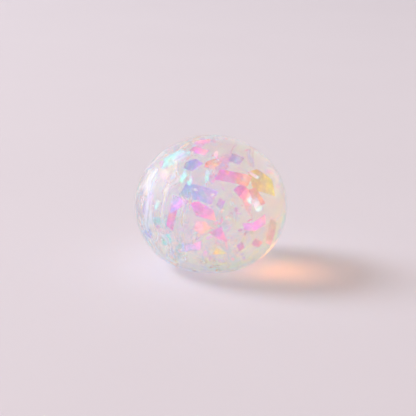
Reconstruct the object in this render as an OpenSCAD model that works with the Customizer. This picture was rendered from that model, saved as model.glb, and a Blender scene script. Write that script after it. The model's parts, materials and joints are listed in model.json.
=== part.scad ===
// Squishy ball: a clear soft skin filled with clear gel, in which cut flakes of colour-shifting film hang.
// Units are millimetres, +Z is up, and the origin is the centre of the flat that the ball stands on.

/* [Ball, as it sags on a table] */
// Width of the ball across its widest ring
ball_w = 67; // [64:0.5:76]
// Height of the ball
ball_h = 58; // [52:0.5:60]
// Height of the widest ring above the table
widest_z = 27; // [24:0.5:30]
// Width of the flat that the ball stands on
foot_w = 21; // [16:0.5:28]
// Angle above the widest ring where the side runs into the crown
crown_turn = 42; // [32:1:58]
// Angle below the widest ring where the side runs into the foot
foot_turn = 55; // [40:1:64]
// How far a hand presses the crown down
squeeze_drop = 24; // [10:1:28]

/* [Skin] */
// Thickness of the skin
skin_t = 2; // [1.4:0.1:3]
// Space between the skin and the gel
skin_gap = 0.1; // [0.05:0.05:0.3]

/* [Filling plug] */
// Diameter of the plug's cap
cap_d = 10; // [8:0.5:12]
// Thickness of the plug's cap
cap_t = 0.8; // [0.5:0.1:1]
// How far the cap is sunk into the foot
cap_inset = 0.3; // [0.2:0.1:0.5]
// Diameter of the plug's stem
stem_d = 5; // [3:0.5:6]
// Space round the plug
plug_gap = 0.05; // [0.05:0.05:0.2]
// Diameter of the thick skin round the filling hole
boss_d = 12; // [9:0.5:14]
// Height of the thick skin above the inside of the ball's floor
boss_h = 1.6; // [0.8:0.1:3]

/* [Film flakes] */
// Thickness of the film
film_t = 0.12; // [0.08:0.01:0.2]
// Space that the gel leaves round a flake
film_gap = 0.05; // [0.03:0.01:0.1]
// Length of the longest flake
longest_l = 14; // [12:0.5:14]
// Clear gel kept between the flakes and the skin
flake_margin = 0.5; // [0.3:0.1:2]
// Flakes at the back of each layer
back_count = 3; // [1:1:3]
// Small bits of film tried for each layer
bits_tried = 80; // [20:1:100]
// Longest of the small bits
bit_l = 2.9; // [1.6:0.1:3.4]
// Width of the small bits
bit_w = 1.5; // [0.8:0.1:1.8]

/* [Hidden] */
$fn = 96;
arc_step = 5;

// The outline is four arcs that run into each other: crown, upper side, lower side and foot.
half_w = ball_w / 2;
foot_r = foot_w / 2;
crown_rise = ball_h - widest_z;
crown_step = (half_w - crown_rise) / (cos(crown_turn) + sin(crown_turn) - 1);
upper_x = crown_step * cos(crown_turn);
upper_r = half_w - upper_x;
crown_r = upper_r + crown_step;
crown_z = ball_h - crown_r;
foot_step = (foot_r - half_w + widest_z) / (cos(foot_turn) + sin(foot_turn) - 1);
foot_arc_r = widest_z - foot_step * sin(foot_turn);
lower_r = foot_arc_r + foot_step;
lower_x = half_w - lower_r;

// The plug is stacked up from the table.
cap_top = cap_inset + cap_t;
boss_top = skin_t + boss_h;

// The flakes hang in six layers, which sink in step when the ball is pressed.
mid_z = ball_h / 2;
pressed_share = squeeze_drop / ball_h;
layer_names = ["bottom", "low", "middle", "upper", "high", "crown"];
layer_count = len(layer_names);
layer_spread = 0.8;
flake_inset = skin_t + skin_gap + longest_l / 2 + flake_margin;
room_w = half_w - flake_inset;
room_h = mid_z - flake_inset;
layer_pitch = 2 * layer_spread * room_h / (layer_count - 1);
golden_angle = 137.5;
sheet_spare = 1.5;

function layer_up(i) = layer_spread * (2 * i / (layer_count - 1) - 1);
function layer_z(i) = mid_z + layer_up(i) * room_h;
function layer_room(i) = sqrt(1 - pow(layer_up(i), 2));

// The eight film colours.
pink = "hotpink";
magenta = "mediumvioletred";
orange = "sandybrown";
yellow = "khaki";
lilac = "plum";
blue = "cornflowerblue";
aqua = "paleturquoise";
pearl = "lavender";
film_colours = [pink, aqua, lilac, yellow, blue, orange, pearl, magenta];

// The flakes that can be told apart from the front. Each row holds its name, its layer, its place in shares of
// the room (right, back) and its rise above its layer, its length and width, its cut, its turns (in its own
// plane, leaning back, and round the upright), its bend and the facets of that bend, and its colour.
// Rises, lengths and widths all scale so that the longest row comes out as the longest flake.
front_flakes = [
    ["violet_strip", 0, [-0.28, -0.42, 2], [8, 3], "strip", [12, -30, -18], [30, 3], lilac],
    ["yellow_shard", 0, [0.12, -0.4, 0.5], [5, 3.2], "shard", [-10, -40, 15], [0, 1], yellow],
    ["purple_chip", 0, [0.42, -0.36, 2], [3, 2.6], "chip", [40, -10, 25], [0, 1], magenta],
    ["rose_chip", 0, [0.62, -0.16, 2.4], [4, 2.8], "chip", [-20, -25, 30], [24, 2], pink],

    ["pink_shard", 1, [0.13, -0.44, 0], [7.4, 4.6], "shard", [-45, -14, 14], [30, 2], pink],
    ["salmon_leaf", 1, [-0.1, 0.3, -1], [4.6, 3.4], "leaf", [20, -15, -8], [30, 3], orange],
    ["ridge_strip", 1, [0.62, -0.4, 2.2], [10, 3.6], "strip", [14, -50, 20], [70, 2], magenta],
    ["teal_chip", 1, [-0.64, -0.32, -2.2], [4.5, 4], "chip", [30, 8, -8], [20, 2], aqua],
    ["edge_leaf", 1, [-0.84, 0, -1.6], [5.5, 3.4], "leaf", [60, 0, -40], [20, 2], blue],
    ["peach_strip", 1, [0.76, 0.08, -1.6], [8, 2.6], "strip", [70, -10, 40], [30, 3], orange],

    ["pink_leaf", 2, [-0.12, -0.52, 2.4], [11, 4.8], "leaf", [-25, -14, 8], [28, 2], pink],
    ["upright_strip", 2, [-0.58, -0.48, 0], [9, 2.8], "strip", [78, -6, -6], [26, 3], pink],
    ["left_sliver", 2, [-0.86, 0, 1.6], [8.5, 2.4], "strip", [78, -5, -45], [20, 2], lilac],
    ["ice_sliver", 2, [-0.8, -0.33, 3.2], [3.8, 1.2], "strip", [80, -29, -24], [0, 1], aqua],

    ["blue_strip", 3, [-0.18, -0.3, 0.8], [13, 5], "strip", [-14, -4, -4], [36, 4], blue],
    ["lilac_chip", 3, [0.14, -0.5, -1.4], [3.6, 2.8], "chip", [70, -8, 14], [0, 1], lilac],
    ["folded_strip", 3, [0.46, -0.3, 1.2], [7, 4], "strip", [-48, -12, 20], [64, 2], pink],
    ["salmon_strip", 3, [0.68, -0.42, 0.8], [8, 3.4], "strip", [-62, -8, 28], [40, 2], orange],
    ["mint_shard", 3, [0.62, -0.71, 2.1], [3.6, 2.2], "shard", [80, -31, -11], [0, 1], aqua],
    ["pearl_sliver", 3, [0.72, -0.58, -1.2], [6, 2.8], "strip", [-55, -30, -10], [24, 2], pearl],
    ["lilac_fan", 3, [-0.5, -0.68, 0.4], [9, 7], "shard", [20, -29, -20], [30, 3], lilac],

    ["ribbon_strip", 4, [0.34, -0.38, 1.2], [14, 4.2], "strip", [-14, -20, 10], [30, 3], pink],
    ["yellow_leaf", 4, [0.74, -0.14, -2.4], [13, 8], "leaf", [-30, -10, 26], [40, 4], yellow],
    ["mint_sliver", 4, [-0.45, -0.59, 3.6], [5, 1.8], "strip", [72, -33, -20], [20, 2], aqua],
    ["mint_chip", 4, [-0.34, -0.71, 3], [3.8, 1.6], "chip", [75, -32, -19], [0, 1], aqua],

    ["aqua_sliver", 5, [-0.06, -0.54, -2.9], [4.4, 1.6], "strip", [85, -33, -17], [16, 2], aqua],
    ["white_sliver", 5, [0.71, -0.54, -1.6], [5.6, 1.4], "strip", [-24, -35, -10], [20, 2], pearl],
    ["blue_leaf", 5, [-0.3, -0.42, 1], [7.5, 5], "leaf", [24, -18, 8], [30, 3], blue],
    ["striped_chip", 5, [-0.6, -0.1, 0.8], [11, 5.4], "chip", [42, -37, -25], [24, 3], aqua],
    ["frost_leaf", 5, [-0.46, -0.22, 3], [7, 4], "leaf", [50, -37, -22], [24, 2], pearl],
    ["arched_strip", 5, [-0.18, -0.02, 2.2], [7, 2.6], "strip", [-18, -46, -8], [60, 4], magenta],
    ["coral_arch", 5, [0.02, -0.36, 0.4], [6.4, 4], "leaf", [30, -30, 6], [56, 3], orange],
    ["red_sliver", 5, [-0.12, 0.3, 1.6], [6, 2], "strip", [10, -60, 0], [30, 2], magenta],
    ["blush_chip", 5, [0.36, -0.06, -0.6], [6, 4.4], "chip", [-20, -10, 20], [30, 2], lilac]
];

// The flakes at the back follow one rule: spread evenly round each layer, with a drawn size and turn. The two
// end layers have less room, so they hold one fewer.
back_seed = 9;
back_total = layer_count * back_count;
back_arc = 180;
back_stagger = 0.2;
back_facets = 3;
back_reach = rands(0.5, 0.86, back_total, back_seed);
back_swing = rands(-40, 40, back_total, back_seed + 1);
back_lean = rands(-45, 30, back_total, back_seed + 2);
back_spin = rands(0, 180, back_total, back_seed + 3);
back_l = rands(6, 11, back_total, back_seed + 4);
back_w = rands(2.4, 4.6, back_total, back_seed + 5);
back_bend = rands(15, 60, back_total, back_seed + 6);
cuts = ["strip", "leaf", "chip", "shard"];

function back_in(i) = i == 0 || i == layer_count - 1 ? max(1, back_count - 1) : back_count;
function back_row(i, j) =
    let (
        n = i * back_count + j,
        stagger = i % 2 == 0 ? back_stagger : -back_stagger,
        bearing = back_arc * (j + 0.5 + stagger) / back_in(i),
        reach = back_reach[n] * layer_room(i)
    )
    [
        str("back_", layer_names[i], "_", j + 1), i,
        [reach * cos(bearing), reach * sin(bearing), 0],
        [back_l[n], back_w[n]], cuts[n % len(cuts)],
        [back_spin[n], back_lean[n], bearing + 90 + back_swing[n]],
        [back_bend[n], back_facets], film_colours[(5 * i + 3 * j + 6) % len(film_colours)]
    ];

listed_longest = max([for (f = front_flakes) f[3][0]]);
flake_scale = longest_l / listed_longest;
flakes = concat(front_flakes, [for (i = [0 : layer_count - 1]) for (j = [0 : back_in(i) - 1]) back_row(i, j)]);

function flake_name(f) = f[0];
function flake_layer(f) = f[1];
function flake_place(f) = [f[2][0] * room_w, f[2][1] * room_w, layer_z(f[1]) + flake_scale * f[2][2]];
function flake_l(f) = flake_scale * f[3][0];
function flake_w(f) = flake_scale * f[3][1];

// The small bits spiral out round each layer, and keep clear of every larger flake, at rest and pressed.
bit_seed = 18;
bit_rise = rands(-0.4, 0.4, layer_count * bits_tried, bit_seed);
bit_turn = rands(0, 360, 3 * layer_count * bits_tried, bit_seed + 1);
bit_size = rands(0.55, 1, layer_count * bits_tried, bit_seed + 2);

function sunk(place, layer) = place - [0, 0, pressed_share * layer_z(layer)];
function bit_clear(place, layer) =
    min([
        for (f = flakes)
            min(
                norm(place - flake_place(f)),
                norm(sunk(place, layer) - sunk(flake_place(f), flake_layer(f)))
            ) - flake_l(f) / 2 - bit_l / 2
    ]) > film_gap;

function bit_rows(i) = [
    for (j = [0 : bits_tried - 1])
        let (
            n = i * bits_tried + j,
            bearing = golden_angle * (j + i / layer_count),
            reach = room_w * layer_room(i) * sqrt((j + 0.5) / bits_tried),
            place = [reach * cos(bearing), reach * sin(bearing), layer_z(i) + bit_rise[n] * layer_pitch]
        )
        if (bit_clear(place, i))
            [place, bit_size[n], [bit_turn[3 * n], bit_turn[3 * n + 1], bit_turn[3 * n + 2]], cuts[j % len(cuts)]]
];

// The four cuts of film, on a unit square round the origin.
function cut_outline(cut) =
    cut == "strip" ? [[-0.5, -0.5], [0.4, -0.5], [0.5, 0.5], [-0.38, 0.5]] :
    cut == "leaf" ? [[-0.5, 0.15], [-0.15, -0.5], [0.5, -0.3], [0.3, 0.35], [-0.25, 0.5]] :
    cut == "chip" ? [[-0.5, -0.35], [0.3, -0.5], [0.5, 0.3], [-0.25, 0.5]] :
    [[-0.5, -0.5], [0.5, -0.1], [-0.2, 0.5]];

// Points along an arc, without its first.
function arc_points(centre, r, from, to) =
    let (steps = ceil((to - from) / arc_step))
    [
        for (i = [1 : steps])
            let (angle = from + (to - from) * i / steps)
            centre + r * [cos(angle), sin(angle)]
    ];

// Half the ball's outline, drawn in by an inset.
module outline(inset) {
    polygon(concat(
        [[0, inset], [foot_r, inset]],
        arc_points([foot_r, foot_arc_r], foot_arc_r - inset, -90, -foot_turn),
        arc_points([lower_x, widest_z], lower_r - inset, -foot_turn, 0),
        arc_points([upper_x, widest_z], upper_r - inset, 0, crown_turn),
        arc_points([0, crown_z], crown_r - inset, crown_turn, 90)
    ));
}

// Half the outline of the inside of the skin, drawn in by a gap, with the boss left standing in it.
module inside_outline(gap) {
    difference() {
        outline(skin_t + gap);
        square([boss_d / 2 + gap, boss_top + gap]);
    }
}

// A sheet of film along X, flat or bent in facets round Y.
module film_sheet(l, w, bend, facets, t) {
    if (bend == 0)
        cube([sheet_spare * l, sheet_spare * w, t], center = true);
    else {
        sweep = sheet_spare * bend;
        r = l / (bend * PI / 180);
        angles = [for (i = [0 : facets]) sweep * (i / facets - 0.5)];
        outer = [for (a = angles) [(r + t / 2) * sin(a), r - (r + t / 2) * cos(a)]];
        inner = [for (i = [facets : -1 : 0]) [(r - t / 2) * sin(angles[i]), r - (r - t / 2) * cos(angles[i])]];
        rotate([90, 0, 0])
            linear_extrude(sheet_spare * w, center = true)
                polygon(concat(outer, inner));
    }
}

// One flake lying flat, grown by a gap where it is the pocket that the gel leaves for it.
module cut_film(l, w, cut, bend, facets, gap = 0) {
    grow = 1 + 4 * gap / min(l, w);
    intersection() {
        film_sheet(l, w * grow, bend, facets, film_t + 2 * gap);
        linear_extrude(2 * l, center = true)
            polygon([for (p = cut_outline(cut)) [p[0] * l * grow, p[1] * w * grow]]);
    }
}

// Stands a flat flake up, turns it and moves it to its place.
module hang(place, turns) {
    translate(place)
        rotate([0, 0, turns[2]])
            rotate([90 + turns[1], 0, 0])
                rotate([0, 0, turns[0]])
                    children();
}

module flake_form(f, gap = 0) {
    hang(flake_place(f), f[5])
        cut_film(flake_l(f), flake_w(f), f[4], f[6][0], f[6][1], gap);
}

module bit_forms(i, gap = 0) {
    for (b = bit_rows(i))
        hang(b[0], b[2])
            cut_film(bit_l * b[1], bit_w * b[1], b[3], 0, 1, gap);
}

module flake(f) {
    color(f[7])
        flake_form(f);
}

module glitter(i) {
    color(pearl)
        bit_forms(i);
}

module shell() {
    color([0.86, 0.88, 0.92, 0.35])
        rotate_extrude()
            difference() {
                outline(0);
                inside_outline(0);
                square([cap_d / 2 + plug_gap, cap_top + plug_gap]);
                square([stem_d / 2 + plug_gap, 2 * boss_top]);
            }
}

module fill_plug() {
    color([0.8, 0.82, 0.86, 0.6])
        rotate_extrude()
            union() {
                translate([0, cap_inset])
                    square([cap_d / 2, cap_t]);
                translate([0, cap_inset])
                    square([stem_d / 2, boss_top - cap_inset]);
            }
}

module gel_fill() {
    color([0.95, 0.92, 0.95, 0.25])
        difference() {
            rotate_extrude()
                inside_outline(skin_gap);
            for (f = flakes)
                flake_form(f, film_gap);
            for (i = [0 : layer_count - 1])
                bit_forms(i, film_gap);
        }
}

shell();
fill_plug();
gel_fill();
for (f = flakes)
    flake(f);
for (i = [0 : layer_count - 1])
    glitter(i);
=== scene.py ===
# %% [markdown]
# A squishy ball is a clear soft skin full of clear gel, and cut flakes of colour-shifting film hang in
# the gel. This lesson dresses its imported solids. Every length is in metres, +Z is up, and the ball stands
# on the origin. The frame comes first, because each piece made here stands where its solid stands and
# moves with that solid's body.

# %% The frame
import json
import math
import random

import bmesh
import bpy
from mathutils import Matrix, Vector


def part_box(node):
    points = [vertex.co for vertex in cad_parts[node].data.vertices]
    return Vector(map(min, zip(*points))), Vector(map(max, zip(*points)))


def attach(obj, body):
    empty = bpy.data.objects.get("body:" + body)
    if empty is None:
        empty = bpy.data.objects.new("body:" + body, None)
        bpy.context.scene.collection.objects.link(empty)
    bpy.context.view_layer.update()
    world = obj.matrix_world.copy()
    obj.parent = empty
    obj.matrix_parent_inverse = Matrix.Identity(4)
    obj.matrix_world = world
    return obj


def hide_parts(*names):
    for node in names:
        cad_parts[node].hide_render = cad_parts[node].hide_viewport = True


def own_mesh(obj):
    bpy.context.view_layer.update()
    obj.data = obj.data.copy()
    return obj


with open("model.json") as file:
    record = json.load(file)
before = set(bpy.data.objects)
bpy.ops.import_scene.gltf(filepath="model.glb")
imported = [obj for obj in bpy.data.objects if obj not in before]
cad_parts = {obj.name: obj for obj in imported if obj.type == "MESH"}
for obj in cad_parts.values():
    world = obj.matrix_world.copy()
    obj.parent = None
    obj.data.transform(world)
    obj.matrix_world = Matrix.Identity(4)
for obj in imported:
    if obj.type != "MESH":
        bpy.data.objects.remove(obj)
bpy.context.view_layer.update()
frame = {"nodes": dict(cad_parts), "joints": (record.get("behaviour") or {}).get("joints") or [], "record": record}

MM = 0.001
nodes = frame["nodes"]
record = frame["record"]

# %% [markdown]
# A pressed ball flattens: every height drops by the same share. The imported joints already hold that
# motion. The filling slides down, and each layer of flakes slides against it. What the joints can't do is
# change a shape. The share that the ball keeps, and the height that each body carries, follow from the
# joints and are worked out here.

# %% How the ball flattens
squeeze = next(joint for joint in frame["joints"] if joint["name"] == "squeeze")
ball_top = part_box("shell")[1].z
middle = ball_top / 2
kept_share = 1 - squeeze["range_m"][1] / middle
carried_at = {"skin": 0.0, "filling": middle}
for coupling in record["behaviour"]["couplings"]:
    layer = coupling["joint"].replace("sink_", "flakes_")
    carried_at[layer] = middle * (1 + coupling["ratio"])
body_of = {node: body for body, own in record["behaviour"]["bodies"].items() for node in own}
slot_of = {part["node"]: part["material_slot"] for part in record["subparts"]}


def settle(piece, node):
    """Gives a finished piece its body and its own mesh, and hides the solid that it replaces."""
    body = body_of[node]
    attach(piece, body)
    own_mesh(piece)
    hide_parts(node)
    return piece


print("pressed to", round(kept_share, 3), "of its height; carried at",
      {body: round(z / MM, 1) for body, z in carried_at.items()})

# %% [markdown]
# Materials are written as sums. One small class stands for a socket, so that plus, minus and times signs
# add Math nodes, and one method adds every other kind of node. That keeps each finish to a few lines that
# can be read aloud.

# %% Sockets that add up


class Wire:
    """An output socket in a finish, which sums and products can build on."""

    def __init__(self, finish, socket):
        self.finish = finish
        self.socket = socket

    def _math(self, operation, first, second):
        return self.finish.node("ShaderNodeMath", {"operation": operation}, {0: first, 1: second})

    def __add__(self, other):
        return self._math("ADD", self, other)

    def __sub__(self, other):
        return self._math("SUBTRACT", self, other)

    def __mul__(self, other):
        return self._math("MULTIPLY", self, other)

    def __rsub__(self, other):
        return self._math("SUBTRACT", other, self)

    __radd__ = __add__
    __rmul__ = __mul__

    def clipped(self):
        """The same value, held between 0 and 1."""
        return self.finish.node("ShaderNodeClamp", {}, {"Value": self})


class Finish:
    """A material, or the world, that is made node by node."""

    def __init__(self, owner):
        owner.use_nodes = True
        self.owner = owner
        self.tree = owner.node_tree
        self.tree.nodes.clear()

    def node(self, kind, settings=None, inputs=None, output=0):
        """Adds a node, sets it up, fills its sockets and returns one of its outputs."""
        made = self.tree.nodes.new(kind)
        for key, value in (settings or {}).items():
            if key == "stops":
                ramp = made.color_ramp.elements
                while len(ramp) < len(value):
                    ramp.new(1)
                for element, (place, colour) in zip(ramp, value):
                    element.position = place
                    element.color = (*colour, 1)
            else:
                setattr(made, key, value)
        for key, value in (inputs or {}).items():
            if isinstance(value, Wire):
                self.tree.links.new(value.socket, made.inputs[key])
            else:
                made.inputs[key].default_value = value
        return Wire(self, made.outputs[output])

    def close(self, surface, kind="ShaderNodeOutputMaterial", volume=None):
        """Links the finished surface, and a volume if there is one, to the output."""
        end = self.tree.nodes.new(kind)
        self.tree.links.new(surface.socket, end.inputs["Surface"])
        if volume:
            self.tree.links.new(volume.socket, end.inputs["Volume"])
        return self.owner


def new_finish(name):
    """An empty finish for a new material."""
    return Finish(bpy.data.materials.new(name))


print("sockets ready")

# %% [markdown]
# Two mixtures come back in several finishes: two colours blended by a share, and a value that rises
# smoothly between two limits. The mix node holds sockets for every kind of value, so its colours go by
# number.

# %% Mixing
MIX_SHARE = 0
MIX_FIRST = 6
MIX_SECOND = 7
MIX_COLOUR = 2


def two_tones(finish, share, first, second):
    """Mixes two colours of a finish by a share."""
    return finish.node("ShaderNodeMix", {"data_type": "RGBA"},
                       {MIX_SHARE: share, MIX_FIRST: first, MIX_SECOND: second}, MIX_COLOUR)


def smooth_step(finish, value, low, high, top=1.0):
    """Rises from nothing to a top value, as the value goes from low to high."""
    return finish.node("ShaderNodeMapRange", {"interpolation_type": "SMOOTHSTEP"},
                       {"Value": value, "From Min": low, "From Max": high, "To Max": top})


print("mixing ready")

# %% [markdown]
# The camera stands in front of the ball and a little above it, looking along +Y. A long lens from 600 mm
# away gives the flat perspective of a product picture. The ball sits a little above and right of the
# middle of the frame, so the camera aims a few millimetres below and left of the ball's centre.

# %% Camera
TILT = math.radians(16)
CAMERA_AWAY = 600 * MM
AIM_LEFT = 1.3 * MM
AIM_BELOW = 3.1 * MM
LENS = 118
SENSOR = 36
NEAREST = 50 * MM
to_camera = Vector((0, -math.cos(TILT), math.sin(TILT)))
picture_up = Vector((0, math.sin(TILT), math.cos(TILT)))
aim = Vector((-AIM_LEFT, 0, middle)) - picture_up * AIM_BELOW
camera = bpy.data.objects.new("camera", bpy.data.cameras.new("camera"))
camera.data.lens = LENS
camera.data.sensor_width = SENSOR
camera.data.clip_start = NEAREST
camera.location = aim + to_camera * CAMERA_AWAY
camera.rotation_euler = (math.pi / 2 - TILT, 0, 0)
scene = bpy.context.scene
scene.collection.objects.link(camera)
scene.camera = camera
scene.view_settings.view_transform = "Standard"
print("camera at", [round(x / MM) for x in camera.location], "mm")

# %% [markdown]
# The ball stands in a pale room, and one background node holds all of it, because the Light Path node
# tells which kind of ray asks. What the lens sees of the room is the floor's own tone. Plain surfaces are
# lit by an even, dim room. The gloss and the clear gel see pale walls, which blend into the floor's tone
# low down, and a dimmer ceiling. A clear ball turns left and right about, so gloss and gel are given
# opposite sides: the ball's left looks cool in both, and its right looks warm.

# %% Walls and ceiling
PAPER = (0.77, 0.69, 0.74, 1)
LEFT_TONE = (0.82, 0.93, 0.79, 1)
RIGHT_TONE = (0.88, 0.97, 1.06, 1)
OVERHEAD = (0.61, 0.62, 0.66, 1)
SIDE_REACH = 0.9
WALL_CLEAR = 0.35
CEILING_FROM = 0.05
CEILING_FULL = 0.75
scene.world = bpy.data.worlds.new("room")
room = Finish(scene.world)
rays = room.node("ShaderNodeLightPath").socket.node.outputs
glossy = Wire(room, rays["Is Glossy Ray"])
passing = Wire(room, rays["Is Transmission Ray"])
seen = Wire(room, rays["Is Camera Ray"])
looking = room.node("ShaderNodeTexCoord", output="Generated")
up = room.node("ShaderNodeSeparateXYZ", {}, {"Vector": looking}, "Z")
side = room.node("ShaderNodeSeparateXYZ", {}, {"Vector": looking}, "X")
right = room.node("ShaderNodeMapRange", {}, {
    "Value": side * (2 * passing - 1), "From Min": -SIDE_REACH, "From Max": SIDE_REACH})
sides = two_tones(room, right, LEFT_TONE, RIGHT_TONE)
walls = two_tones(room, smooth_step(room, up, 0.0, WALL_CLEAR), PAPER, sides)
vault = two_tones(room, smooth_step(room, up, CEILING_FROM, CEILING_FULL), walls, OVERHEAD)
print("walls and ceiling of", len(room.tree.nodes), "nodes")

# %% [markdown]
# The window belongs to the room as well. The gloss sees a soft bright patch near it, which becomes the
# highlight. The gel sees a warm sun in its place, which lights the pool under the ball. The gloss also
# sees both side walls brighter, so that the ball's edge is light on the left and right.

# %% Window light in the room
EVEN_ROOM = (0.14, 0.134, 0.136, 1)
ROOM_SHEEN = 1.3
PATCH_SIDE = Vector((-0.78, 0.36, 0.51)).normalized()
PATCH_GAIN = 3.0
PATCH_EDGE = 0.83
SUN_TONE = (1.0, 0.90, 0.42, 1)
SUN_GAIN = 25.0
SUN_EDGE = 0.96
WINDOW_BEHIND = math.radians(18)
WINDOW_UP = math.radians(38)
window_side = Vector((-math.cos(WINDOW_BEHIND), math.sin(WINDOW_BEHIND), 0)) * math.cos(WINDOW_UP)
window_side.z = math.sin(WINDOW_UP)


def bright_round(way, edge):
    """A soft round light, which is full where a ray looks straight one way."""
    nearness = room.node("ShaderNodeVectorMath", {"operation": "DOT_PRODUCT"}, {0: looking, 1: way}, "Value")
    return smooth_step(room, nearness, edge, 1.0)


mirrored = glossy * (1 - passing)
patch = bright_round(PATCH_SIDE, PATCH_EDGE)
sun = bright_round(window_side, SUN_EDGE) * passing
lighting = two_tones(room, (glossy + passing).clipped(), EVEN_ROOM, vault)
backdrop = room.node("ShaderNodeBackground", {}, {
    "Color": two_tones(room, sun, two_tones(room, seen, lighting, PAPER), SUN_TONE),
    "Strength": 1 + mirrored * (side * side * ROOM_SHEEN + patch * PATCH_GAIN) + sun * SUN_GAIN})
room.close(backdrop, "ShaderNodeOutputWorld")
print("room of", len(room.tree.nodes), "nodes")

# %% [markdown]
# The window's lamp is on the left, a little behind the ball, and makes the ball's shadow. Gloss and gel
# leave it out, because the room's patch and sun stand for it there. A renderer can't aim at a lamp
# through a face that bends light, so the fill lamps cast no shadow and reach the inside directly. Light
# linking gives each fill to one thing: two to the film, so that no flake is left dark, one from the left
# to the gel, and one from above to the floor.

# %% Lamps
WINDOW_W = 145
WINDOW_SIZE = (2.1, 1.8)
WINDOW_AWAY = 5.0
WINDOW_TONE = (0.92, 1.01, 1.12)
FILL_SIZE = (3.0, 3.0)
FILL_AWAY = 3.6
FILL_TONE = (0.94, 0.98, 1.0)
FLOOR_TONE = (1.0, 0.89, 0.805)
FRONT_LEFT = Vector((-0.45, -0.62, 0.64)).normalized()
BACK_RIGHT = Vector((0.55, 0.25, 0.8)).normalized()
LEFT = Vector((-0.88, -0.36, 0.32)).normalized()
OVER_LEFT = Vector((-0.3, -0.05, 0.95)).normalized()
FILM_W = 112
FILM_BACK_W = 95
GEL_W = 45
FLOOR_W = 85


def area_lamp(name, size, watts, tone, toward, away):
    """A lamp that faces the ball's middle from one side."""
    lamp = bpy.data.objects.new(name, bpy.data.lights.new(name, "AREA"))
    lamp.data.shape = "RECTANGLE"
    lamp.data.size, lamp.data.size_y = size
    lamp.data.energy = watts
    lamp.data.color = tone
    lamp.location = Vector((0, 0, middle)) + toward * away
    lamp.rotation_euler = toward.to_track_quat("Z", "Y").to_euler()
    scene.collection.objects.link(lamp)
    return lamp


def fill_lamp(lit, name, watts, tone, toward):
    """A lamp without shadow, for the pieces in one collection."""
    lamp = area_lamp(name, FILL_SIZE, watts, tone, toward, FILL_AWAY)
    lamp.data.use_shadow = False
    lamp.light_linking.receiver_collection = lit


window = area_lamp("window", WINDOW_SIZE, WINDOW_W, WINDOW_TONE, window_side, WINDOW_AWAY)
window.visible_glossy = False
window.visible_transmission = False
film_lit = bpy.data.collections.new("lit_film")
gel_lit = bpy.data.collections.new("lit_gel")
floor_lit = bpy.data.collections.new("lit_floor")
fill_lamp(film_lit, "film_front", FILM_W, FILL_TONE, FRONT_LEFT)
fill_lamp(film_lit, "film_back", FILM_BACK_W, FILL_TONE, BACK_RIGHT)
fill_lamp(gel_lit, "gel_left", GEL_W, FILL_TONE, LEFT)
fill_lamp(floor_lit, "floor_over", FLOOR_W, FLOOR_TONE, OVER_LEFT)
print("window at", [round(x, 2) for x in window.location], "m and four fills")

# %% [markdown]
# The floor is one sheet of pale pink-lavender paper. A plain grid is enough, with a faint mottle in its
# colour.

# %% Floor
FLOOR_HALF = 3.0
FLOOR_CELLS = 8
MOTTLE_DARK = (0.758, 0.686, 0.732, 1)
MOTTLE_LIGHT = (0.778, 0.706, 0.752, 1)
MOTTLE_SCALE = 9.0


def made_object(bm, name):
    """Makes a finished bmesh an object of the scene."""
    mesh = bpy.data.meshes.new(name)
    bm.to_mesh(mesh)
    bm.free()
    piece = bpy.data.objects.new(name, mesh)
    scene.collection.objects.link(piece)
    return piece


bm = bmesh.new()
bmesh.ops.create_grid(bm, x_segments=FLOOR_CELLS, y_segments=FLOOR_CELLS, size=FLOOR_HALF)
floor = made_object(bm, "floor")
floor_lit.objects.link(floor)
paper = new_finish("paper")
spot = paper.node("ShaderNodeTexCoord", output="Object")
mottle = paper.node("ShaderNodeTexNoise", {}, {"Vector": spot, "Scale": MOTTLE_SCALE, "Detail": 2.0})
sheet = paper.node("ShaderNodeBsdfPrincipled", {}, {
    "Base Color": two_tones(paper, mottle, MOTTLE_DARK, MOTTLE_LIGHT),
    "Roughness": 0.7, "Specular IOR Level": 0.2})
floor.data.materials.append(paper.close(sheet))
print("floor of", len(floor.data.polygons), "faces")

# %% [markdown]
# The skin's outline is four arcs that run into each other: foot, lower side, upper side and crown. Each
# arc is one vertex spun about the arc's centre, so the chain of arcs is drawn as a compass would draw it.
# A chain that starts further in gives a smaller outline with the same centres. Each chain ends on the
# axis, and one full spin turns it into a wall.

# %% The outline, as a compass draws it
HALF_W = min(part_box("shell")[1].xy)
WIDEST_Z = 27 * MM
FOOT_R = 10.5 * MM
CROWN_TURN = math.radians(42)
FOOT_TURN = math.radians(55)
ARC_STEP = math.radians(2.5)
LEAST_STEPS = 3
ROUND_STEPS = 128
TOUCHING = 0.001 * MM
crown_step = (HALF_W - ball_top + WIDEST_Z) / (math.cos(CROWN_TURN) + math.sin(CROWN_TURN) - 1)
upper_x = crown_step * math.cos(CROWN_TURN)
crown_z = ball_top - (HALF_W - upper_x) - crown_step
foot_step = (FOOT_R - HALF_W + WIDEST_Z) / (math.cos(FOOT_TURN) + math.sin(FOOT_TURN) - 1)
foot_arc_r = WIDEST_Z - foot_step * math.sin(FOOT_TURN)
lower_x = HALF_W - foot_arc_r - foot_step
ARCS = [
    ((FOOT_R, foot_arc_r), math.pi / 2 - FOOT_TURN),
    ((lower_x, WIDEST_Z), FOOT_TURN),
    ((upper_x, WIDEST_Z), CROWN_TURN),
    ((0, crown_z), math.pi / 2 - CROWN_TURN),
]


def chain(bm, points):
    """Joins points of the half section with edges, and returns their vertices."""
    made = [bm.verts.new((x, 0, z)) for x, z in points]
    for first, second in zip(made, made[1:]):
        bm.edges.new((first, second))
    return made


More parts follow.
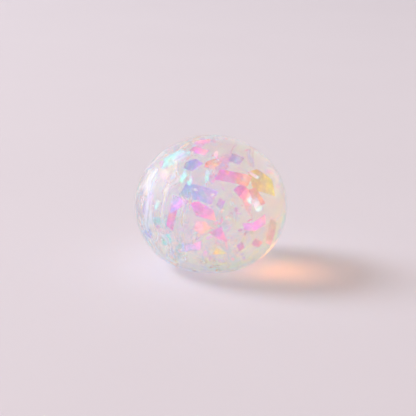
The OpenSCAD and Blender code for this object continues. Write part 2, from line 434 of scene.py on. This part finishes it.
def sweep_arcs(bm, tip):
    """Spins the tip of a chain round the four arcs, up to the crown."""
    for (x, z), angle in ARCS:
        spun = bmesh.ops.spin(bm, geom=[tip], cent=(x, 0, z), axis=(0, -1, 0), angle=angle,
                              steps=max(LEAST_STEPS, round(angle / ARC_STEP)), use_merge=False)
        tip = next(part for part in spun["geom_last"] if isinstance(part, bmesh.types.BMVert))
    tip.co.x = 0


def turned(bm, name, steps=ROUND_STEPS):
    """Spins a half section once round the upright, and makes it an object."""
    bmesh.ops.spin(bm, geom=bm.verts[:] + bm.edges[:], cent=(0, 0, 0), axis=(0, 0, 1), angle=2 * math.pi,
                   steps=steps, use_merge=True)
    bmesh.ops.remove_doubles(bm, verts=bm.verts, dist=TOUCHING)
    bmesh.ops.recalc_face_normals(bm, faces=bm.faces)
    for face in bm.faces:
        face.smooth = True
    return made_object(bm, name)


crown_r = HALF_W - upper_x + crown_step
print("crown radius", round(crown_r / MM, 2), "mm, foot radius", round(foot_arc_r / MM, 2), "mm")

# %% [markdown]
# The skin has a filling hole at the bottom pole, with a boss round it and a shallow seat for the plug's
# cap. Its outside and its inside are two chains, two millimetres apart. They start together in that hole,
# so the full spin leaves one closed wall.

# %% Skin
SKIN_T = 2 * MM
HOLE_R = 2.55 * MM
SEAT_R = 5.05 * MM
SEAT_Z = 1.15 * MM
BOSS_R = 6 * MM
BOSS_Z = 3.6 * MM
bm = bmesh.new()
outside = chain(bm, [(HOLE_R, SEAT_Z), (SEAT_R, SEAT_Z), (SEAT_R, 0), (FOOT_R, 0)])
sweep_arcs(bm, outside[-1])
inside = chain(bm, [(HOLE_R, SEAT_Z), (HOLE_R, BOSS_Z), (BOSS_R, BOSS_Z), (BOSS_R, SKIN_T), (FOOT_R, SKIN_T)])
sweep_arcs(bm, inside[-1])
skin = turned(bm, "skin_wall")
print("skin of", len(skin.data.polygons), "faces, box", [round(x / MM, 2) for x in skin.dimensions], "mm")

# %% [markdown]
# The gel fills the skin to a tenth of a millimetre. It is drawn with the same compass, a little further
# in.

# %% Gel
GEL_GAP = 0.1 * MM
gel_z = SKIN_T + GEL_GAP
hollow_r = BOSS_R + GEL_GAP
hollow_z = BOSS_Z + GEL_GAP
bm = bmesh.new()
underside = chain(bm, [(0, hollow_z), (hollow_r, hollow_z), (hollow_r, gel_z), (FOOT_R, gel_z)])
sweep_arcs(bm, underside[-1])
gel = turned(bm, "gel_body")
print("gel of", len(gel.data.polygons), "faces, box", [round(x / MM, 2) for x in gel.dimensions], "mm")

# %% [markdown]
# A small plug closes the filling hole: a stem in the hole and a flat cap in the seat, both with broken
# edges. It stays out of sight, so one half section in millimetres, from the cap up to the stem's end, is
# all it needs.

# %% Plug
CAP_SECTION = [(0, 0.3), (4.7, 0.3), (5, 0.5), (5, 1.0), (4.9, 1.1)]
STEM_SECTION = [(2.5, 1.1), (2.5, 3.4), (2.3, 3.6), (0, 3.6)]
PLUG_STEPS = 64
bm = bmesh.new()
chain(bm, [(x * MM, z * MM) for x, z in CAP_SECTION + STEM_SECTION])
plug = turned(bm, "plug_body", PLUG_STEPS)
print("plug of", len(plug.data.polygons), "faces")

# %% [markdown]
# Skin and gel are both clear, and together they bend light like one clear ball. Half of that bend is
# given to the skin's outer face and half to the gel's face, and the skin's inner face lets light straight
# through. The skin is a little cloudy, which softens the edges of what lies behind it. Its gloss is a
# clear coat, as soft as the real highlight.

# %% Skin finish
HALF_BEND = 1.2
SKIN_ROUGH = 0.1
RIPPLE_ROUGH = 0.05
RIPPLE_SCALE = 60.0
RIPPLE_STRENGTH = 0.05
RIPPLE_HEIGHT = 0.5 * MM
COAT_WEIGHT = 0.45
COAT_ROUGH = 0.2
clear = new_finish("clear_skin")
spot = clear.node("ShaderNodeTexCoord", output="Object")
ripple = clear.node("ShaderNodeTexNoise", {}, {"Vector": spot, "Scale": RIPPLE_SCALE, "Detail": 2.0})
bump = clear.node("ShaderNodeBump", {}, {
    "Height": ripple, "Strength": RIPPLE_STRENGTH, "Distance": RIPPLE_HEIGHT})
outer_face = clear.node("ShaderNodeBsdfPrincipled", {}, {
    "Base Color": (1, 1, 1, 1), "Roughness": SKIN_ROUGH + ripple * RIPPLE_ROUGH, "IOR": HALF_BEND,
    "Transmission Weight": 1.0, "Coat Weight": COAT_WEIGHT, "Coat Roughness": COAT_ROUGH, "Coat IOR": 1.5,
    "Normal": bump})
lining = new_finish("skin_lining")
inner_face = lining.node("ShaderNodeBsdfTransparent", {}, {"Color": (1, 1, 1, 1)})
skin.data.materials.append(clear.close(outer_face))
skin.data.materials.append(lining.close(inner_face))
for face in skin.data.polygons:
    inner = face.center.z > SEAT_Z and (face.center - Vector((0, 0, middle))).dot(face.normal) < 0
    face.material_index = 1 if inner else 0
settle(skin, "shell")
print(sum(face.material_index for face in skin.data.polygons), "faces of the skin are its lining")

# %% [markdown]
# The gel scatters blue light far more than red. That is what makes it opal: lavender towards the window,
# warm on the far side, and peach in the light that it lets through. Its face is a little rough, so what
# lies deep in the ball blurs and what lies near its front stays sharp. The finest shreds of film are
# painted on that face: a veil that tints it in soft blotches, and upright strands of pearl. Painted light
# is laid over both. The tint leans from lilac on the window's side, the left, to straw on the far right,
# and most strands stand on the left as a painted sheen.

# %% Gel finish
GEL_HAZE = (0.03, 0.45, 0.98, 1)
GEL_DENSITY = 42.0
GEL_FORWARD = 0.1
GEL_ROUGH = 0.17
BLOTCH_SCALE = 110.0
BLOTCH_STOPS = (0.30, 0.42, 0.5, 0.58, 0.70)
# The veil's tones run from lilac to straw. The lean below is painted light: lilac on the window's side, the left,
# and straw on the far right.
VEIL_AND_PAINTED_LIGHT_TONES = [(0.82, 0.90, 1.0), (0.99, 0.92, 1.0), (0.93, 1.0, 0.98), (1.0, 0.95, 0.89), (0.97, 1.0, 0.78)]
PAINTED_LIGHT_LEAN = 3.0
# The pearl tones lean the same way, as painted light on the window's side.
PEARLS_AND_PAINTED_LIGHT_TONES = [(0.76, 0.82, 1.0), (0.90, 0.86, 1.0), (0.82, 0.96, 0.96), (1.0, 0.92, 0.84), (0.96, 0.98, 0.70)]
STRAND_SCALE = 170.0
STRAND_STRETCH = (1.0, 1.0, 0.35)
STRAND_COVER = 0.56
STRAND_FROM = 0.53
STRAND_TO = 0.8
# The strands' lean by X is a painted sheen: more pale strands on the window's side.
STRAND_PAINTED_LIGHT_LEAN = -4.0
jelly = new_finish("clear_gel")
spot = jelly.node("ShaderNodeTexCoord", output="Object")
across = jelly.node("ShaderNodeSeparateXYZ", {}, {"Vector": spot}, "X")
blotch = jelly.node("ShaderNodeTexNoise", {}, {
    "Vector": spot, "Scale": BLOTCH_SCALE, "Detail": 4.0, "Distortion": 1.5})
# Painted light: the random blotches are tilted by X, towards lilac on the window's side and straw on the far side.
blotch_and_painted_light = (blotch + across * PAINTED_LIGHT_LEAN).clipped()
veil_and_painted_light = jelly.node("ShaderNodeValToRGB", {"stops": list(zip(BLOTCH_STOPS, VEIL_AND_PAINTED_LIGHT_TONES))}, {"Fac": blotch_and_painted_light})
pearl_and_painted_light = jelly.node("ShaderNodeValToRGB", {"stops": list(zip(BLOTCH_STOPS, PEARLS_AND_PAINTED_LIGHT_TONES))}, {"Fac": blotch_and_painted_light})
upright = jelly.node("ShaderNodeMapping", {}, {"Vector": spot, "Scale": STRAND_STRETCH})
strand = jelly.node("ShaderNodeTexNoise", {}, {
    "Vector": upright, "Scale": STRAND_SCALE, "Detail": 2.0, "Distortion": 0.6})
# Painted sheen: the pale strands stand thickest on the window's side, the left, and thin out to the right.
strand_and_painted_sheen_share = smooth_step(jelly, strand + across * STRAND_PAINTED_LIGHT_LEAN, STRAND_FROM, STRAND_TO, STRAND_COVER)
clear_face = jelly.node("ShaderNodeBsdfPrincipled", {}, {
    "Base Color": veil_and_painted_light, "Roughness": GEL_ROUGH, "IOR": HALF_BEND, "Transmission Weight": 1.0})
pearl_face = jelly.node("ShaderNodeBsdfPrincipled", {}, {"Base Color": pearl_and_painted_light, "Roughness": 0.4, "IOR": 1.3})
gel_face = jelly.node("ShaderNodeMixShader", {}, {0: strand_and_painted_sheen_share, 1: clear_face, 2: pearl_face})
haze = jelly.node("ShaderNodeVolumeScatter", {}, {
    "Color": GEL_HAZE, "Density": GEL_DENSITY, "Anisotropy": GEL_FORWARD})
gel.data.materials.append(jelly.close(gel_face, volume=haze))
gel_lit.objects.link(gel)
settle(gel, "gel_fill")
print("gel finish of", len(jelly.tree.nodes), "nodes")

# %% [markdown]
# The plug is the skin's own stuff, moulded thick, so it looks milky. Light crosses many faces on its way
# through the ball, so the renderer may follow it for more bounces than usual.

# %% Plug finish and bounces
stopper = new_finish("satin_plug")
plug.data.materials.append(stopper.close(stopper.node("ShaderNodeBsdfPrincipled", {}, {
    "Base Color": (0.9, 0.9, 0.93, 1), "Roughness": 0.3, "IOR": 1.45, "Transmission Weight": 0.8})))
settle(plug, "fill_plug")
scene.cycles.volume_bounces = 8
scene.cycles.max_bounces = 24
scene.cycles.transmission_bounces = 16
scene.cycles.transparent_max_bounces = 24
print("clear finishes on", skin.name, gel.name, plug.name)

# %% [markdown]
# Colour-shifting film is partly a mirror and partly clear. Its colour drifts along a flake, jumps at each
# crease and shimmers in fine crinkles, so each finish runs through its colours by the flake's own two
# attributes and two noises. Under the mirror there is a glow, because light on the back of the film
# shines through it. The rest is see-through. The bits share one finish with five colours, so that each
# bit can start at its own place among them.

# %% Film colours
FILMS = {
    "film_pink": [(0.96, 0.34, 1.0), (1.0, 0.34, 0.72), (1.0, 0.56, 0.24)],
    "film_magenta": [(0.66, 0.40, 1.0), (1.0, 0.36, 0.92), (1.0, 0.50, 0.56)],
    "film_orange": [(1.0, 0.44, 0.66), (1.0, 0.58, 0.34), (1.0, 0.84, 0.30)],
    "film_yellow": [(1.0, 0.60, 0.10), (1.0, 0.80, 0.03), (0.92, 0.93, 0.14)],
    "film_lilac": [(0.50, 0.62, 1.0), (0.78, 0.54, 1.0), (1.0, 0.50, 0.94)],
    "film_blue": [(0.46, 0.80, 0.96), (0.54, 0.56, 0.96), (0.86, 0.50, 0.98)],
    "film_aqua": [(0.46, 1.0, 0.90), (0.62, 0.98, 1.0), (0.70, 0.72, 1.0)],
    "film_pearl": [(0.92, 0.66, 0.90), (0.76, 0.78, 0.94), (0.60, 0.92, 0.88)],
}
BITS = [(0.70, 0.60, 1.0), (1.0, 0.54, 0.90), (1.0, 0.76, 0.52), (0.98, 0.94, 0.56), (0.58, 0.96, 0.92)]
FILM_PASS = (1.0, 0.95, 0.89, 1)
print(len(FILMS), "films and", len(BITS), "colours of bits")

# %% Film finishes
CLOUD_SCALE = 260.0
CRINKLE_SCALE = 900.0
NOISE_MIDDLE = 0.5
RAMP_EDGE = 0.1
ALONG_DRIFT = 1.1
FACET_JUMP = 0.4
CLOUD_DRIFT = 0.6
CRINKLE_DRIFT = 1.2
DRIFT_BACK = 0.05
FILM_METAL = 0.26
FILM_ROUGH = 0.26
CLOUD_ROUGH = 0.16
GLOW_SHARE = 0.45
COVER = 0.44
DEEP_COVER = 0.16
CLOUD_PLAIN = 0.4
CLOUD_COVER = 1.2
CRINKLE_COVER = 0.6


def film_finish(name, colours, cover):
    """A film that runs through its colours, glows in the second of them and covers a share of its sheet."""
    film = new_finish(name)
    spot = film.node("ShaderNodeTexCoord", output="Object")
    along = film.node("ShaderNodeAttribute", {"attribute_name": "along"}, output="Fac")
    facet = film.node("ShaderNodeAttribute", {"attribute_name": "facet"}, output="Fac")
    cloud = film.node("ShaderNodeTexNoise", {}, {"Vector": spot, "Scale": CLOUD_SCALE, "Detail": 2.0})
    crinkle = film.node("ShaderNodeTexNoise", {}, {
        "Vector": spot, "Scale": CRINKLE_SCALE, "Detail": 3.0, "Distortion": 2.0})
    shimmer = (cloud - NOISE_MIDDLE) * CLOUD_DRIFT + (crinkle - NOISE_MIDDLE) * CRINKLE_DRIFT - DRIFT_BACK
    drift = (along * ALONG_DRIFT + facet * FACET_JUMP + shimmer).clipped()
    run = (1 - 2 * RAMP_EDGE) / (len(colours) - 1)
    stops = [(RAMP_EDGE + run * step, colour) for step, colour in enumerate(colours)]
    colour = film.node("ShaderNodeValToRGB", {"stops": stops}, {"Fac": drift})
    mirror = film.node("ShaderNodeBsdfPrincipled", {}, {
        "Base Color": colour, "Roughness": FILM_ROUGH + cloud * CLOUD_ROUGH, "Metallic": FILM_METAL,
        "IOR": 1.6})
    glow = film.node("ShaderNodeBsdfTranslucent", {}, {"Color": (*colours[1], 1)})
    body = film.node("ShaderNodeMixShader", {}, {0: GLOW_SHARE, 1: mirror, 2: glow})
    through = film.node("ShaderNodeBsdfTransparent", {}, {"Color": FILM_PASS})
    patches = (cloud - CLOUD_PLAIN) * CLOUD_COVER + (crinkle - NOISE_MIDDLE) * CRINKLE_COVER
    share = (cover + patches).clipped()
    return film.close(film.node("ShaderNodeMixShader", {}, {0: share, 1: through, 2: body}))


near_finish = {slot: film_finish(slot, colours, COVER) for slot, colours in FILMS.items()}
deep_finish = {slot: film_finish("deep_" + slot, colours, DEEP_COVER) for slot, colours in FILMS.items()}
bit_finish = film_finish("film_bits", BITS, COVER)
print(len(near_finish), "film finishes, and a thinner one of each for the back of the ball")

# %% [markdown]
# Each flake's solid already has the flake's outline, place and bend. One side of it is the sheet to work
# on: it is the largest face and whatever joins that face at less than a corner. A group of bits holds
# many sheets, so the sides are picked island by island. A mesh may list its faces in another order in
# each run, so they are sorted by place, and what is drawn for them later comes out the same every time.

# %% One side of a flake
SLANT = Vector((0.62, 0.37, 0.69))
CORNER = math.radians(70)
FLAT = math.radians(1)


def in_order(faces):
    """Faces in the order in which a slanted plane meets their middles."""
    return sorted(faces, key=lambda face: face.calc_center_median().dot(SLANT))


def neighbours(face):
    """The faces that share an edge with a face, and the face itself."""
    return (other for edge in face.edges for other in edge.link_faces)


def islands(bm):
    """The groups of faces that hang together, each in its order."""
    found = set()
    for start in in_order(bm.faces):
        if start in found:
            continue
        found.add(start)
        group = [start]
        for face in group:
            for other in neighbours(face):
                if other not in found:
                    found.add(other)
                    group.append(other)
        yield in_order(group)


def front_sheet(group):
    """The faces on the side of a group's largest face."""
    sheet = [max(group, key=lambda face: face.calc_area())]
    found = set(sheet)
    for face in sheet:
        for other in neighbours(face):
            if other not in found and face.normal.angle(other.normal, 0) < CORNER:
                found.add(other)
                sheet.append(other)
    return sheet


def cut_sheet(node):
    """A bmesh of one side of a node's flakes."""
    bm = bmesh.new()
    bm.from_mesh(nodes[node].data)
    bmesh.ops.remove_doubles(bm, verts=bm.verts, dist=TOUCHING)
    bm.normal_update()
    kept = {face for group in islands(bm) for face in front_sheet(group)}
    bmesh.ops.delete(bm, geom=[face for face in bm.faces if face not in kept], context="FACES")
    bmesh.ops.dissolve_limit(bm, angle_limit=FLAT, verts=bm.verts, edges=bm.edges)
    bm.normal_update()
    return bm


ribbon = cut_sheet("ribbon_strip")
print("the sheet of the ribbon has", len(ribbon.faces), "faces")
ribbon.free()

# %% [markdown]
# Film creases along straight lines, and the strips between two creases tilt one way and then the other,
# like a paper fan. A plane cuts the sheet along each crease, and every point then moves out or in by a
# zigzag. Two sets of creases that cross make crumpled facets, and one close set makes pleats. The facets
# stay flat, so each one catches the light on its own. Where two corners of a sheet are equally far out, a
# small slanted share decides which of them is its tip.

# %% Creases
TIE_SHARE = 0.01
ON_PLANE = 1e-7
MOST_LEAN = 35
CROSSING = (50, 80)
CRUMPLES = [(2.6 * MM, 0.16 * MM), (3.4 * MM, 0.12 * MM)]
PLEAT_TURN = (75, 105)
PLEAT = (0.9 * MM, 0.14 * MM)
SEED = 7
rng = random.Random(SEED)


def sheet_ways(bm):
    """The long way of a sheet, and the way that it faces."""
    facing = sum((face.normal * face.calc_area() for face in bm.faces), Vector()).normalized()
    centre = sum((vert.co for vert in bm.verts), Vector()) / len(bm.verts)
    tip = max(bm.verts, key=lambda vert: (vert.co - centre).length + vert.co.dot(SLANT) * TIE_SHARE).co
    tail = max(bm.verts, key=lambda vert: (vert.co - tip).length).co
    long_way = tail - tip
    return (long_way - facing * long_way.dot(facing)).normalized(), facing


def turned_in_sheet(way, facing, degrees):
    """A way of a sheet, turned without leaving the sheet."""
    return Matrix.Rotation(math.radians(degrees), 3, facing) @ way


def fold(bm, across, facing, spacing, depth):
    """Creases a sheet into strips of one spacing, which tilt one way and the other."""
    start = rng.random() * spacing
    reach = [(vert.co.dot(across) - start) / spacing for vert in bm.verts]
    for step in range(math.ceil(min(reach)), math.ceil(max(reach))):
        bmesh.ops.bisect_plane(bm, geom=bm.verts[:] + bm.edges[:] + bm.faces[:], dist=ON_PLANE,
                               plane_co=across * (start + step * spacing), plane_no=across)
    for vert in bm.verts:
        turn = (vert.co.dot(across) - start) / spacing % 2
        vert.co += facing * depth * (2 * abs(turn - 1) - 1)


def crumple(bm):
    """Creases a sheet in two ways that cross."""
    long_way, facing = sheet_ways(bm)
    lean = rng.uniform(-MOST_LEAN, MOST_LEAN)
    crossing = lean + rng.uniform(*CROSSING)
    for degrees, (spacing, depth) in zip((lean, crossing), CRUMPLES):
        fold(bm, turned_in_sheet(long_way, facing, degrees), facing, spacing, depth)


def pleat(bm):
    """Creases a sheet closely along its length."""
    long_way, facing = sheet_ways(bm)
    across = turned_in_sheet(long_way, facing, rng.uniform(*PLEAT_TURN))
    fold(bm, across, facing, *PLEAT)


print("creases ready")

# %% [markdown]
# Now every flake is cut, creased and given its thickness. The bits are too small to crease. Each facet
# draws its own step of colour, and a second number runs along each flake from end to end. Where that
# starts is drawn too, but the ribbon, which runs into orange, and the blue leaf, which is mostly lilac,
# are given their start and their spread.

# %% Flakes and bits
FILM_T = 0.04 * MM
PLEATED = ("lilac_fan", "striped_chip", "frost_leaf")
LEAD = {"ribbon_strip": (0.15, 1.2), "blue_leaf": (0.4, 0.9)}
FLAKE_START = (-0.25, 0.25)
BIT_START = (-0.4, 0.7)


def draw_colours(bm, node, starts):
    """Gives each sheet its run of colour from end to end, and each facet its own step."""
    along = bm.verts.layers.float.new("along")
    facet = bm.faces.layers.float.new("facet")
    for group in islands(bm):
        own = list(dict.fromkeys(vert for face in group for vert in face.verts))
        tip = min(own, key=lambda vert: vert.co.x).co.copy()
        reach = max(own, key=lambda vert: (vert.co - tip).length).co - tip
        drawn = rng.uniform(*starts)
        start, spread = LEAD.get(node, (drawn, 1.0))
        for vert in own:
            vert[along] = (vert.co - tip).dot(reach) / reach.length_squared * spread + start
        for face in group:
            face[facet] = rng.uniform(-1, 1)


def film_piece(node):
    """Makes the film of one node, and settles it in the model."""
    bits = node.startswith("glitter")
    bm = cut_sheet(node)
    if node in PLEATED:
        pleat(bm)
    elif not bits:
        crumple(bm)
    draw_colours(bm, node, BIT_START if bits else FLAKE_START)
    bmesh.ops.triangulate(bm, faces=bm.faces)
    bmesh.ops.solidify(bm, geom=bm.faces[:], thickness=FILM_T)
    bmesh.ops.recalc_face_normals(bm, faces=bm.faces)
    piece = made_object(bm, "film_" + node)
    finishes = deep_finish if node.startswith("back") else near_finish
    piece.data.materials.append(bit_finish if bits else finishes[slot_of[node]])
    film_lit.objects.link(piece)
    return settle(piece, node)


flakes = [film_piece(node) for node in nodes if node not in ("shell", "gel_fill", "fill_plug")]
print(len(flakes), "flakes and groups of bits,", sum(len(flake.data.polygons) for flake in flakes), "faces")
